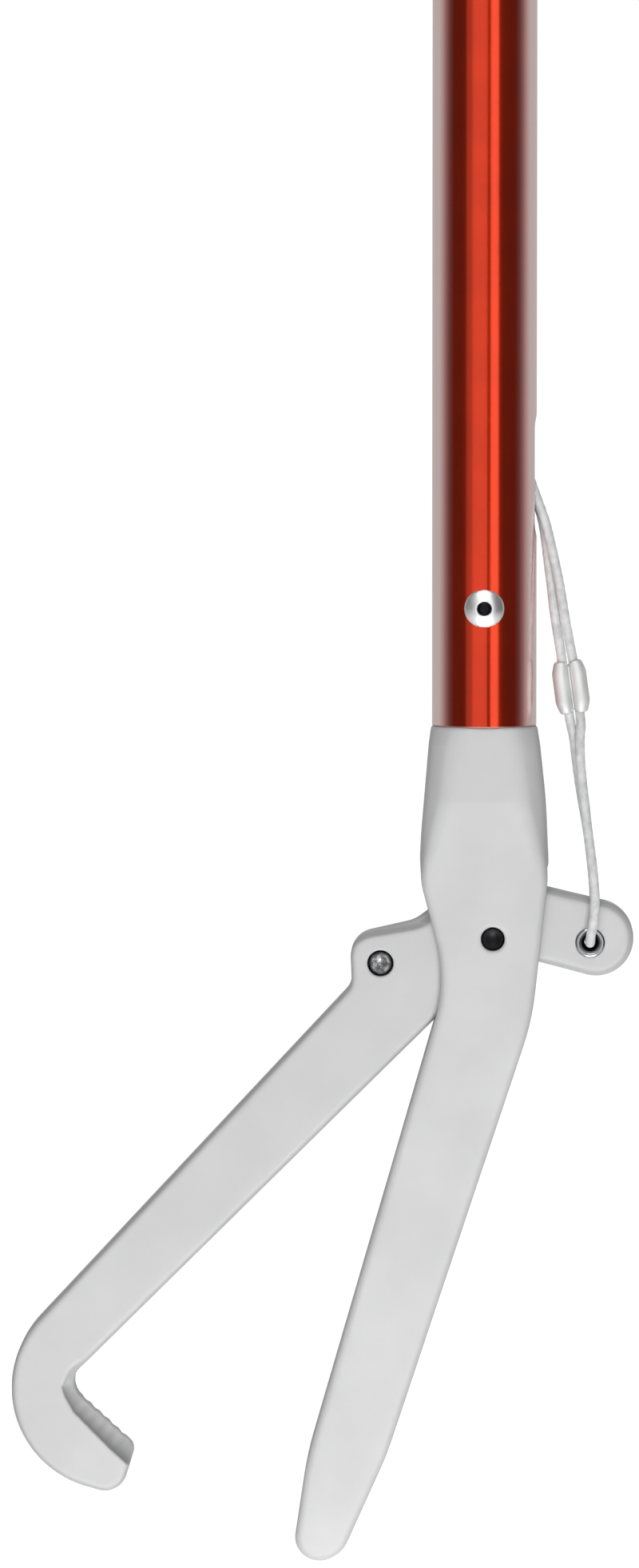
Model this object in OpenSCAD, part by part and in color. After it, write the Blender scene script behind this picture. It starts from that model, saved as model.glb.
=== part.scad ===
// Cord-pulled reacher grabber, hanging by the hole in its handle with the jaws at the bottom.
// The origin is the centre of the hanging hole. Z runs up along the shaft, X points to the side
// where the pull cord leaves the shaft, and the jaws and the trigger swing in the XZ plane.

/* [Shaft] */
// Outside diameter of the aluminium tube
tube_od = 16; // [15.8:0.1:16.2]
// Wall thickness of the tube
tube_wall = 1; // [0.8:0.1:1.2]
// Length of the tube
tube_len = 440; // [400:10:600]

/* [Jaws] */
// Thickness of the moving jaw
jaw_t = 7.2; // [6.8:0.1:7.3]
// Width of the fork slot that the moving jaw swings in
fork_slot = 7.7; // [7.5:0.1:7.9]
// Thickness of the fixed jaw at the pivot
fork_t = 11.8; // [11.4:0.1:12.2]
// Diameter of the jaw pivot pin
jaw_pin_d = 3.6; // [3.2:0.1:3.8]
// Swing of the moving jaw from open to closed, in degrees
jaw_swing = 16; // [10:0.5:16]

/* [Cord] */
// Diameter of one strand of the doubled pull cord
cord_d = 1.5; // [1.2:0.1:1.6]

/* [Handle] */
// Radius of the round barrel
barrel_r = 15; // [14.8:0.1:15.5]
// Wall thickness of the two shells
shell_wall = 2.2; // [2:0.1:2.4]
// Depth of the grip, front to back
grip_depth = 31; // [28:1:33]
// Width of the grip, side to side
grip_width = 25; // [23:1:27]
// Diameter of the hanging hole
hang_d = 6; // [5:0.5:8]
// Thickness of the hanging tab
tab_t = 10; // [8:1:12]

/* [Hidden] */
$fn = 48;
eps = 0.01;

// Heights along the shaft
tube_top = -85;
tube_bottom = tube_top - tube_len;
jaw_neck = 32.4;               // tube end down to the jaw pivot
pivot = [1.35, tube_bottom - jaw_neck];
tube_r = tube_od / 2;
bore_r = tube_r - tube_wall;

// Fasteners and fits
run_gap = 0.05;                // radial clearance of a turning fit
fit_gap = 0.02;                // radial clearance of a seated fit
rivet_z = 50.6;                // above the jaw pivot
rivet_r = 1.6;
rivet_head_r = 3;
rivet_head_h = 1.15;
mandrel_r = 1;
spigot_top = 57.5;
spigot_r = bore_r - 0.05;
spigot_core_r = 3.4;
slot_low = 61.5;               // cord slot in the tube, above the jaw pivot
slot_high = 80;
slot_half_w = 2.2;

// Places on the moving jaw, from the pivot
lever_hole = [14.9, -0.7];
magnet_at = [-17.2, -3.9];
magnet_r = 1.95;
magnet_len = 5;
eyelet_r = 1.8;
eyelet_bore_r = 1.45;
eyelet_throat_r = 1.05;
eyelet_lip_r = 2.3;
eyelet_lip_t = 0.35;
cove_r = 2.7;

// Trigger, from its own pivot
trigger_at = [6.8, -52];
trigger_swing = 24;
trigger_pin_d = 4;
neck_t = 9;
pad_t = 17;
lever_r = norm(lever_hole);
lever_mid = atan2(lever_hole.y, lever_hole.x) + jaw_swing / 2;
anchor_r = lever_r * sin(jaw_swing / 2) / sin(trigger_swing / 2);
anchor_turn = lever_mid + trigger_swing / 2;
anchor = trigger_at - anchor_r * [cos(anchor_turn), sin(anchor_turn)];
stop_r = 2.6;

// Handle
nozzle_len = 39;
socket_gap = 0.03;
peg_r = 2.4;
peg_z = tube_top - 19;
grip_from = [-5, -32.7];
grip_tilt = -71.57;
grip_len = 108;
tab_half_w = 9;
tab_end = 11;
screw_r = 1.5;
screw_head_r = 2.8;
screw_head_h = 1.9;
boss_r = 3.4;
// Screws: place in X and Z, and the half width of the handle there
screws = [[0, -21, 14.4], [-40, -20.5, 11.4], [-93, -3.2, 11.6],
          [-9.5, -79.5, 11], [10, -76, 10.6]];

// ---- outlines -------------------------------------------------------------------------------

function unit(v) = v / norm(v);

// One corner [x, z, radius] between its neighbours, as the points of its arc
function arc_corner(a, b, c) =
    let (p = [b.x, b.y], u = unit([a.x, a.y] - p), v = unit([c.x, c.y] - p),
         half = acos(u * v) / 2, centre = p + unit(u + v) * b[2] / sin(half),
         from = p + u * b[2] / tan(half) - centre, to = p + v * b[2] / tan(half) - centre,
         a0 = atan2(from.y, from.x),
         sweep = (atan2(to.y, to.x) - a0 + 540) % 360 - 180,
         steps = max(2, ceil(abs(sweep) / 10)))
    b[2] == 0 ? [p] : [for (i = [0:steps]) let (t = a0 + sweep * i / steps)
                       centre + b[2] * [cos(t), sin(t)]];

function rounded(c) = let (n = len(c))
    [for (i = [0:n - 1]) each arc_corner(c[(i + n - 1) % n], c[i], c[(i + 1) % n])];

// Superellipse, rounder than a box and squarer than an ellipse
function oval(depth, width, power = 2.6, n = 40) =
    [for (i = [0:n - 1]) let (t = 360 * i / n, c = cos(t), s = sin(t))
        [sign(c) * depth / 2 * pow(abs(c), 2 / power),
         sign(s) * width / 2 * pow(abs(s), 2 / power)]];

MOVING_JAW = [[-4.5, 8.0, 5], [5.5, 8.3, 6], [22.75, 4.2, 5.7], [19.95, -7.1, 5.7],
              [5.6, -3.3, 1.5], [3.0, -7.2, 4.2], [-7.0, -10.6, 15], [-65.7, -68.7, 3],
              [-54.9, -78.5, 1.2], [-57.3, -86.2, 3.5], [-87.2, -77.5, 15.8],
              [-21.6, -7.2, 3], [-21.9, 0.3, 4], [-12.0, 2.6, 5]];

FIXED_JAW = [[-9.85, 32.4, 0], [7.15, 32.4, 0], [8.6, 21, 40], [8.55, 10, 50], [6.0, -12.6, 40],
             [-16.2, -79.6, 40], [-23.2, -95.2, 5], [-31.1, -97.6, 3.7], [-28.5, -80.2, 50],
             [-7.1, -6.4, 22], [-10.9, 8.2, 10], [-11.35, 14, 40]];

// Half thickness of the fixed jaw at heights above the pivot
FORK_SIDE = [[jaw_neck, 7.6], [21, 7.5], [15, 6.5], [10, fork_t / 2 + 0.15],
             [6, fork_t / 2], [-12, fork_t / 2], [-90, 4.7], [-97, 4.2]];

// Space in the fork for the hub and the swing of the jaw
FORK_SLOT = [[-24, 4], [-14, 4], [-4.5, 9.0], [0, 10.8], [14, 10.8], [14, -5.2], [5, -5.2],
             [-0.2, -10.3], [-15.6, -36], [-24, -36]];

TRIGGER = [[4.8, 4.8, 4.7], [4.8, -4.8, 4.7], [-9, -9.5, 8], [-24.5, -27.5, 4.5],
           [-56, -19, 60], [-98, -30, 5], [-100, -17, 4], [-56, -9.5, 70], [-24, -9, 8],
           [-4.8, 4.8, 4.7]];

// ---- helpers --------------------------------------------------------------------------------

// An outline in XZ, made t thick about Y = 0
module plate(points, t) {
    translate([0, t / 2, 0]) rotate([90, 0, 0]) linear_extrude(t) polygon(points);
}

// A round bar along Y, from y0 to y1, at a place in XZ
module bar(at, r, y0, y1) {
    translate([at.x, y1, at.y]) rotate([90, 0, 0]) cylinder(r = r, h = y1 - y0);
}

module at_pivot() { translate([pivot.x, 0, pivot.y]) children(); }
module at_trigger() { translate([trigger_at.x, 0, trigger_at.y]) children(); }

// Round wire through points, as one closed solid. No stretch may run the way across points.
module wire(path, r, sides, across) {
    n = len(path);
    rings = [for (i = [0:n - 1])
        let (t = unit(path[min(i + 1, n - 1)] - path[max(i - 1, 0)]),
             u = unit(cross(t, across)), v = cross(t, u))
        for (k = [0:sides - 1]) let (a = 360 * k / sides)
            path[i] + r * (cos(a) * u + sin(a) * v)];
    walls = [for (i = [0:n - 2], k = [0:sides - 1]) let (j = (k + 1) % sides)
        [i * sides + k, i * sides + j, (i + 1) * sides + j, (i + 1) * sides + k]];
    caps = [[for (k = [sides - 1:-1:0]) k], [for (k = [0:sides - 1]) (n - 1) * sides + k]];
    polyhedron(points = rings, faces = concat(walls, caps), convexity = 10);
}

// ---- shaft ----------------------------------------------------------------------------------

module shaft_tube() {
    color("firebrick") difference() {
        translate([0, 0, tube_bottom]) cylinder(r = tube_r, h = tube_len);
        translate([0, 0, tube_bottom - 1]) cylinder(r = bore_r, h = tube_len + 2);
        bar([0, pivot.y + rivet_z], rivet_r + fit_gap, -10, 10);
        bar([0, peg_z], peg_r + run_gap, -10, 10);
        for (z = [slot_low + slot_half_w, slot_high - slot_half_w])
            translate([4, 0, pivot.y + z]) rotate([0, 90, 0]) cylinder(r = slot_half_w, h = 6);
        translate([4, -slot_half_w, pivot.y + slot_low + slot_half_w])
            cube([6, 2 * slot_half_w, slot_high - slot_low - 2 * slot_half_w]);
    }
}

// ---- jaws -----------------------------------------------------------------------------------

module fixed_jaw() {
    axis_x = -pivot.x;
    color("lightgray") at_pivot() difference() {
        union() {
            intersection() {
                plate(rounded(FIXED_JAW), 20);
                rotate([90, 0, 90]) translate([0, 0, -50]) linear_extrude(100)
                    polygon(concat([for (p = FORK_SIDE) [p[1], p[0]]],
                                   [for (i = [len(FORK_SIDE) - 1:-1:0])
                                       [-FORK_SIDE[i][1], FORK_SIDE[i][0]]]));
                union() {
                    translate([axis_x, 0, 0]) rotate_extrude()
                        polygon([[0, jaw_neck], [8.35, jaw_neck], [8.9, 29.6], [9.65, 21],
                                 [10.3, 14], [11.4, 9], [13, 2], [13, -8], [0, -8]]);
                    translate([-60, -15, -110]) cube([90, 30, 103]);
                }
            }
            translate([axis_x, 0, 0]) {
                translate([0, 0, jaw_neck - 1]) cylinder(r = spigot_r, h = spigot_top - jaw_neck);
                translate([0, 0, spigot_top - 1]) cylinder(r1 = spigot_r, r2 = 6, h = 1);
            }
        }
        translate([axis_x, 0, jaw_neck + 2]) cylinder(r = spigot_core_r, h = 40);
        bar([axis_x, rivet_z], rivet_r + fit_gap, -12, 12);
        plate(FORK_SLOT, fork_slot);
        bar([0, 0], 9.6, -fork_slot / 2, fork_slot / 2);
        bar([0, 0], jaw_pin_d / 2 + fit_gap, -12, 12);
        translate([0.7, -2.9, 10]) cylinder(r = 0.4, h = 3);
    }
}

module moving_jaw() {
    groove = jaw_t / 2 - 1.3;
    color("lightgray") at_pivot() difference() {
        plate(rounded(MOVING_JAW), jaw_t);
        bar([0, 0], jaw_pin_d / 2 + run_gap, -10, 10);
        bar(lever_hole, eyelet_r + fit_gap, -10, 10);
        bar(magnet_at, magnet_r + fit_gap, -10, -jaw_t / 2 + magnet_len + 0.3);
        // pocket for the return spring, the window for its fixed leg and the groove for the other
        bar([0, 0], 3.9, -10, 0.2);
        translate([0, -groove, 0]) rotate([90, 0, 0]) linear_extrude(10)
            polygon([[0, 0], 14 * [cos(98), sin(98)], 14 * [cos(62), sin(62)]]);
        translate([-8.8, -10, 2.5]) cube([8.8, 9.6, 0.8]);
        grip_face();
    }
}

// The gripping face of the hook: a lip left between two coves, with fine grooves across it
module grip_face() {
    root = [MOVING_JAW[7].x, MOVING_JAW[7].y];
    along = unit([MOVING_JAW[8].x, MOVING_JAW[8].y] - root);
    turn = 90 - atan2(along.y, along.x);
    for (side = [-1, 1])
        translate([root.x + 3 * along.x, side * jaw_t / 2, root.y + 3 * along.y])
            rotate([0, turn, 0]) cylinder(r = cove_r, h = 15);
    for (i = [0:4]) {
        p = root + (4.2 + 1.9 * i) * along;
        translate([p.x, 0, p.y]) rotate([0, 45 + turn, 0])
            cube([0.6, 20, 0.6], center = true);
    }
}

module jaw_pivot_pin() {
    recess = 0.5;
    color("dimgray") at_pivot()
        bar([0, 0], jaw_pin_d / 2, -fork_t / 2 + recess, fork_t / 2 - recess);
}

// Torsion spring round the pin: its front leg stands in the fork, its back leg lies in the jaw
module jaw_return_spring() {
    wire_r = 0.3;
    coil_r = 2.9;
    steps = 42;
    coil = [for (i = [0:steps]) let (a = 90 + 3 * 360 * i / steps)
        [coil_r * cos(a), -2.9 + 2.1 * i / steps, coil_r * sin(a)]];
    color("silver") at_pivot()
        wire(concat([[0.7, -2.9, 12.6], [0.7, -2.9, 8], [0.62, -2.9, coil_r + 1]], coil,
                    [[-4, -0.8, coil_r], [-8.4, -0.8, coil_r]]), wire_r, 6, [0, 1, 0]);
}

module lug_magnet() {
    color("slategray") at_pivot()
        bar(magnet_at, magnet_r, -jaw_t / 2 + 0.25, -jaw_t / 2 + 0.25 + magnet_len);
}

module cord_eyelet() {
    half = jaw_t / 2;
    color("silver") at_pivot() difference() {
        union() {
            bar(lever_hole, eyelet_r, -half, half);
            bar(lever_hole, eyelet_lip_r, -half - eyelet_lip_t, -half);
            bar(lever_hole, eyelet_lip_r, half, half + eyelet_lip_t);
        }
        bar(lever_hole, eyelet_throat_r, -10, 10);
        for (turn = [0, 180]) translate([lever_hole.x, 0, lever_hole.y])
            rotate([0, 0, turn]) translate([0, -half - eyelet_lip_t - 0.1, 0])
                rotate([-90, 0, 0]) cylinder(r1 = eyelet_bore_r, r2 = 1, h = 2.25);
    }
}

// Blind rivet through the tube wall and the spigot, its blind side in the spigot's core
module jaw_rivet() {
    color("gainsboro") difference() {
        union() {
            difference() {
                intersection() {
                    bar([0, 0], rivet_head_r, -tube_r - rivet_head_h, -bore_r);
                    translate([0, 2.9 - tube_r, 0]) sphere(r = 4.1);
                }
                translate([0, 0, -20]) cylinder(r = tube_r, h = 40);
            }
            bar([0, 0], rivet_r, -tube_r - 0.2, -spigot_core_r + 0.85);
            bar([0, 0], rivet_r + 0.4, -spigot_core_r + 0.85, -spigot_core_r + 1.5);
        }
        bar([0, 0], mandrel_r + fit_gap, -20, -1);
    }
}

module rivet_mandrel() {
    color("dimgray") {
        bar([0, 0], mandrel_r, -tube_r - 0.1, -spigot_core_r + 1.52);
        bar([0, 0], mandrel_r + 0.4, -spigot_core_r + 1.52, -spigot_core_r + 2.2);
    }
}

module at_rivet(turn) {
    translate([0, 0, pivot.y + rivet_z]) rotate([0, 0, turn]) children();
}

module jaw_rivet_front() { at_rivet(0) jaw_rivet(); }
module jaw_rivet_back() { at_rivet(180) jaw_rivet(); }
module rivet_mandrel_front() { at_rivet(0) rivet_mandrel(); }
module rivet_mandrel_back() { at_rivet(180) rivet_mandrel(); }

// ---- pull cord ------------------------------------------------------------------------------

// The doubled cord's middle line from the trigger to below the ferrule: [x, z] from the jaw
// pivot, half the gap between the strands, and the turn of the pair (90 is one behind the other)
CORD_PAIR = [[3.2, 100, 0.8, 90], [3.4, 86, 0.8, 90], [3.8, 79, 0.8, 90], [4.6, 74, 0.8, 90],
             [5.7, 70, 0.8, 90], [6.7, 67, 0.8, 86], [7.8, 63.5, 0.8, 76], [8.5, 60, 0.8, 62],
             [9.1, 56.5, 0.85, 46], [9.6, 53.5, 0.85, 32], [10.0, 50.6, 0.85, 18],
             [10.4, 48, 0.85, 6], [10.9, 45.2, 0.85, 0], [11.38, 42.4, 0.85, 0],
             [11.93, 38.3, 0.85, 0], [12.48, 34.2, 0.85, 0], [12.72, 32.4, 0.86, 30],
             [12.85, 30.6, 0.9, 58], [13.1, 27, 1.2, 76], [13.5, 23.5, 1.7, 83],
             [14.0, 20, 2.3, 87], [14.5, 16.5, 2.95, 90], [15.0, 12.8, 3.7, 90],
             [15.4, 9.2, 4.4, 90],
             [15.6, 6, 4.85, 90], [15.5, 3.6, 4.95, 90], [15.25, 1.8, 4.98, 90],
             [15.0, 0.6, 4.9, 90], [14.92, -0.15, 4.6, 90], [14.9, -0.6, 4.05, 90],
             [14.9, -0.7, 3.2, 90]];

function strand(side) = concat(
    [[anchor.x, side * 0.8, anchor.y - 1]],
    [for (z = [400, 300, 200]) let (t = (z - 100) / (anchor.y - pivot.y - 100))
        [pivot.x + 3.2 + t * (anchor.x - pivot.x - 3.2), side * 0.8, pivot.y + z]],
    [for (p = CORD_PAIR) [pivot.x + p[0] - side * p[2] * cos(p[3]),
                          side * p[2] * sin(p[3]), pivot.y + p[1]]]);

function reversed(v) = [for (i = [len(v) - 1:-1:0]) v[i]];

module pull_cord() {
    color("whitesmoke") wire(concat(strand(-1), reversed(strand(1))), cord_d / 2, 8, [1, 0, 0]);
}

// Figure-eight crimp sleeve around the two strands
module cord_ferrule() {
    upper = CORD_PAIR[13];
    lower = CORD_PAIR[15];
    gap = upper[2];
    lean = atan2(upper.x - lower.x, upper.y - lower.y);
    bore = cord_d / 2 + 0.06;
    color("silver") translate([pivot.x + upper.x, 0, pivot.y + upper.y]) rotate([0, lean, 0])
        translate([0, 0, -8.25]) difference() {
            union() {
                for (s = [-1, 1]) translate([s * 1.25, 0, 0]) {
                    cylinder(r1 = 1.2, r2 = 1.45, h = 0.5);
                    translate([0, 0, 0.5]) cylinder(r = 1.45, h = 7.2);
                    translate([0, 0, 7.7]) cylinder(r1 = 1.45, r2 = 1.1, h = 0.5);
                }
                translate([-1.25, -1, 0.3]) cube([2.5, 2, 7.5]);
            }
            for (s = [-1, 1]) translate([s * gap, 0, -1]) cylinder(r = bore, h = 12);
        }
}

// Ball crimped on both strands, which the trigger pulls on
module cord_stop() {
    color("silver") translate([anchor.x, 0, anchor.y]) difference() {
        sphere(r = stop_r);
        for (side = [-1, 1]) translate([0, side * 0.8, -5]) cylinder(r = cord_d / 2 + 0.04, h = 4.1);
    }
}

// ---- handle ---------------------------------------------------------------------------------

module along_grip() {
    translate([grip_from.x, 0, grip_from.y]) rotate([0, grip_tilt, 0]) children();
}

module handle_form() {
    nozzle_end = tube_top - nozzle_len;
    rotate_extrude() polygon([[0, nozzle_end], [10.4, nozzle_end], [11.4, nozzle_end + 1],
        [12.2, nozzle_end + 12], [13.8, nozzle_end + 26], [barrel_r, nozzle_end + 38],
        [barrel_r, -22], [14.3, -15], [12.2, -9.5], [8.5, -6], [0, -5]]);
    along_grip() {
        linear_extrude(grip_len - 4) polygon(oval(grip_depth, grip_width));
        linear_extrude(grip_len) polygon(oval(grip_depth - 4, grip_width - 4));
    }
    plate(rounded([[-tab_half_w, tab_end, tab_half_w - 0.5], [tab_half_w, tab_end, tab_half_w - 0.5],
                   [tab_half_w, -14, 0], [-tab_half_w, -14, 0]]), tab_t);
}

module handle_hollow() {
    inner = barrel_r - shell_wall;
    translate([0, 0, tube_top + 2]) cylinder(r = inner, h = -13 - tube_top - 2);
    translate([0, 0, tube_top - 1]) cylinder(r = bore_r, h = 4);
    translate([0, 0, tube_top - nozzle_len - 1])
        cylinder(r = tube_r + socket_gap, h = nozzle_len + 1);
    along_grip() translate([0, 0, 6]) linear_extrude(grip_len - 6 - 2 * shell_wall)
        polygon(oval(grip_depth - 2 * shell_wall, grip_width - 2 * shell_wall));
    translate([-20, -neck_t / 2 - 0.5, -78]) cube([14, neck_t + 1, 31]);
}

// One half of the handle, side = -1 at the front and 1 at the back
module handle_shell(side) {
    seam = side < 0 ? -30 : 0;
    color("lightgray") intersection() {
        translate([-130, seam, -140]) cube([170, 30, 170]);
        difference() {
            union() {
                difference() {
                    handle_form();
                    handle_hollow();
                }
                intersection() {
                    handle_form();
                    union() {
                        for (s = screws) bar(s, boss_r, -s[2], s[2]);
                        for (k = [-1, 1]) bar(trigger_at, 4, k < 0 ? -14 : neck_t / 2 + 0.4,
                                              k < 0 ? -neck_t / 2 - 0.4 : 14);
                    }
                }
                for (k = [-1, 1]) bar([0, peg_z], peg_r, k < 0 ? -10 : 6.7, k < 0 ? -6.7 : 10);
            }
            bar([0, 0], hang_d / 2, -20, 20);
            bar(trigger_at, trigger_pin_d / 2 + fit_gap, -11.5, 11.5);
            for (s = screws) {
                bar(s, screw_r + fit_gap, -s[2], s[2] - 2.4);
                bar(s, screw_head_r + 0.2, -20, -s[2] + screw_head_h + 0.6);
            }
        }
    }
}

module handle_shell_front() { handle_shell(-1); }
module handle_shell_back() { handle_shell(1); }

module handle_screws() {
    color("dimgray") for (s = screws) {
        seat = -s[2] + screw_head_h + 0.6;
        bar(s, screw_r, seat - 0.1, s[2] - 2.6);
        difference() {
            bar(s, screw_head_r, seat - screw_head_h, seat);
            for (turn = [0, 90]) translate([s.x, seat - screw_head_h, s.y]) rotate([0, turn + 30, 0])
                cube([3, 1.8, 0.6], center = true);
        }
    }
}

module trigger() {
    color("lightgray") at_trigger() difference() {
        union() {
            plate(rounded(TRIGGER), neck_t);
            intersection() {
                plate(rounded(TRIGGER), pad_t);
                translate([-120, -15, -50]) cube([94.5, 30, 100]);
            }
        }
        bar([0, 0], trigger_pin_d / 2 + 1.2, -10, 10);
        translate([anchor.x - trigger_at.x, 0, anchor.y - trigger_at.y]) {
            sphere(r = stop_r + 0.45);
            cylinder(r = stop_r + 0.45, h = 12);
            plate([[-2.1, 0.5], [2.1, 0.5], [2.6, -3], [7, -11.5], [-2.3, -11.5]], 4.2);
        }
    }
}

// Turning bush pressed into the trigger's hub
module trigger_bush() {
    color("whitesmoke") at_trigger() difference() {
        bar([0, 0], trigger_pin_d / 2 + 1.2 - fit_gap, -neck_t / 2, neck_t / 2);
        bar([0, 0], trigger_pin_d / 2 + run_gap, -10, 10);
    }
}

module trigger_pivot_pin() {
    color("silver") at_trigger() bar([0, 0], trigger_pin_d / 2, -11.4, 11.4);
}

shaft_tube();
fixed_jaw();
moving_jaw();
jaw_pivot_pin();
jaw_return_spring();
lug_magnet();
cord_eyelet();
jaw_rivet_front();
jaw_rivet_back();
rivet_mandrel_front();
rivet_mandrel_back();
pull_cord();
cord_ferrule();
cord_stop();
handle_shell_front();
handle_shell_back();
handle_screws();
trigger();
trigger_bush();
trigger_pivot_pin();
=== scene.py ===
"""Studio picture of a cord-pulled reacher grabber: the red tube's lower end, the fork with its two jaws,
and the doubled pull cord. Lengths are in millimetres until a mesh is made, and Z runs up along the tube."""

import math

import bpy
import numpy as np
from mathutils import Matrix, Vector


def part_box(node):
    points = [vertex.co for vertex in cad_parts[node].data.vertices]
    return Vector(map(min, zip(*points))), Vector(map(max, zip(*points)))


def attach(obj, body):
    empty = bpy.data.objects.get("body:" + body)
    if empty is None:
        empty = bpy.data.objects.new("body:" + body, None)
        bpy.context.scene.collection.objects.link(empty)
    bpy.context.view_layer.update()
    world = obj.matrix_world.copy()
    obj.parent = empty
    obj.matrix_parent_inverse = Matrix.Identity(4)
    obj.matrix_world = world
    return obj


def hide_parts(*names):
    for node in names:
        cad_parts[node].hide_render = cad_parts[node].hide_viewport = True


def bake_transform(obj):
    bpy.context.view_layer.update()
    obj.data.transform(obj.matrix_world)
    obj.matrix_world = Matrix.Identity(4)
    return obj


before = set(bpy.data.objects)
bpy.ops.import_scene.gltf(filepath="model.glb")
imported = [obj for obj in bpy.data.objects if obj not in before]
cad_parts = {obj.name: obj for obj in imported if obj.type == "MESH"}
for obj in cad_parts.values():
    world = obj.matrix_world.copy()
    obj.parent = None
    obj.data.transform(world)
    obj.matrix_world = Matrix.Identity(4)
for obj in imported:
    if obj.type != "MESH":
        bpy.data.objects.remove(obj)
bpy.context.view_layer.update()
MM = 0.001


def corners(node):
    return [np.array(c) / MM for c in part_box(node)]


def middle(node):
    low, high = corners(node)
    return (low + high) / 2


# Places and sizes that the CAD model gives
PIVOT = middle("jaw_pivot_pin")
TRIGGER_AT = middle("trigger_pivot_pin")
TUBE_LOW, TUBE_HIGH = corners("shaft_tube")
TUBE_R = (TUBE_HIGH[0] - TUBE_LOW[0]) / 2
BORE_R = TUBE_R - 1
NECK = TUBE_LOW[2] - PIVOT[2]
RIVET_Z = middle("jaw_rivet_front")[2]
ANCHOR = middle("cord_stop")
PIN_LOW, PIN_HIGH = corners("jaw_pivot_pin")
PIN_R, PIN_END = (PIN_HIGH[0] - PIN_LOW[0]) / 2, PIN_HIGH[1]
JAW_HALF = corners("moving_jaw")[1][1]
MAGNET = middle("lug_magnet") - PIVOT
EYELET = middle("cord_eyelet") - PIVOT

# Outlines in XZ, each from its own pivot: corners as x, z and the radius of the corner
MOVING_JAW = [(-4.5, 8.0, 5), (5.5, 8.3, 6), (22.75, 4.2, 5.7), (19.95, -7.1, 5.7),
              (5.6, -3.3, 1.5), (3.0, -7.2, 4.2), (-7.0, -10.6, 15), (-65.7, -68.7, 3),
              (-54.9, -78.5, 2.1), (-57.3, -86.2, 3.5), (-87.2, -77.5, 15.8),
              (-21.6, -7.2, 3), (-21.9, 0.3, 4), (-12.0, 2.6, 5)]
FIXED_JAW = [(-9.85, 42.0, 0), (7.15, 42.0, 0), (7.15, 32.4, 0), (8.6, 21, 40), (8.55, 10, 50),
             (6.0, -12.6, 40), (-16.2, -79.6, 40), (-23.2, -95.2, 5), (-31.1, -97.6, 3.7),
             (-28.5, -80.2, 50), (-7.1, -6.4, 22), (-10.9, 8.2, 10), (-11.35, 14, 40), (-9.85, 32.4, 0)]
TRIGGER = [(4.8, 4.8, 4.7), (4.8, -4.8, 4.7), (-9, -9.5, 8), (-24.5, -27.5, 4.5), (-56, -19, 60),
           (-98, -30, 5), (-100, -17, 4), (-56, -9.5, 70), (-24, -9, 8), (-4.8, 4.8, 4.7)]
# The slot between the fork's cheeks, as plain corners in XZ from the jaw pivot
FORK_SLOT = [(-24, 4), (-14, 4), (-4.5, 9.0), (0, 10.8), (14, 10.8), (14, -5.2), (5, -5.2),
             (-0.2, -10.3), (-15.6, -36), (-24, -36)]
# Half the fork's depth, and the boss's radius about the tube's axis, by height above the jaw pivot
FORK_SIDE = [(-97, 4.2), (-90, 4.7), (-12, 5.9), (6, 5.9), (10, 6.05), (15, 6.5), (21, 7.5), (32.4, 7.6)]
BOSS_SIDE = [(-110, 400), (-8, 15), (2, 13), (9, 11.4), (14, 10.3), (21, 9.65), (29.6, 8.9), (32.4, 8.35)]


# ---- shapes as distance fields --------------------------------------------------------------


def unit(v):
    return v / np.linalg.norm(v)


def rounded(shape, turn=2.5):
    """The outline's points, with an arc of the given radius at each corner, in steps of turn degrees."""
    points = []
    for i, (x, z, r) in enumerate(shape):
        p = np.array([x, z], float)
        if not r:
            points.append(p)
            continue
        u = unit(np.array(shape[i - 1][:2]) - p)
        v = unit(np.array(shape[(i + 1) % len(shape)][:2]) - p)
        half = math.acos(np.clip(u @ v, -1, 1)) / 2
        centre = p + unit(u + v) * r / math.sin(half)
        start, end = p + u * r / math.tan(half) - centre, p + v * r / math.tan(half) - centre
        a0 = math.atan2(start[1], start[0])
        sweep = (math.atan2(end[1], end[0]) - a0 + 3 * math.pi) % (2 * math.pi) - math.pi
        steps = max(2, math.ceil(math.degrees(abs(sweep)) / turn))
        for k in range(steps + 1):
            a = a0 + sweep * k / steps
            points.append(centre + r * np.array([math.cos(a), math.sin(a)]))
    return points


def outline(points):
    """Distance from a closed outline, negative inside it."""
    points = [np.array(p[:2], float) for p in points]
    sides = list(zip(points, points[1:] + points[:1]))

    def field(x, z):
        shape = np.broadcast(x, z).shape
        x, z = np.broadcast_to(x, shape), np.broadcast_to(z, shape)
        best, inside = np.full(shape, 1e9), np.zeros(shape, bool)
        for (x0, z0), (x1, z1) in sides:
            ex, ez = x1 - x0, z1 - z0
            wx, wz = x - x0, z - z0
            t = np.clip((wx * ex + wz * ez) / (ex * ex + ez * ez + 1e-12), 0, 1)
            best = np.minimum(best, (wx - t * ex) ** 2 + (wz - t * ez) ** 2)
            if ez:
                inside ^= ((z0 <= z) != (z1 <= z)) & (x < x0 + ex * (z - z0) / ez)
        return np.where(inside, -1, 1) * np.sqrt(best)

    return field


def both(a, b, r):
    """What lies in both shapes, their common edge rounded to radius r."""
    return np.minimum(np.maximum(a, b), -r) + np.hypot(np.maximum(a + r, 0), np.maximum(b + r, 0))


def either(a, b, r):
    """The two shapes together, with a fillet of radius r where they meet."""
    return -both(-a, -b, r)


def bevelled(a, b, leg, r=0.3):
    """What lies in both shapes, their common edge cut off at 45 degrees and softened."""
    return both(both(a, b, r), (a + b + leg) * math.sqrt(0.5), r)


def without(a, b, r):
    """The first shape with the second cut out of it."""
    return both(a, -b, r)


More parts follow.
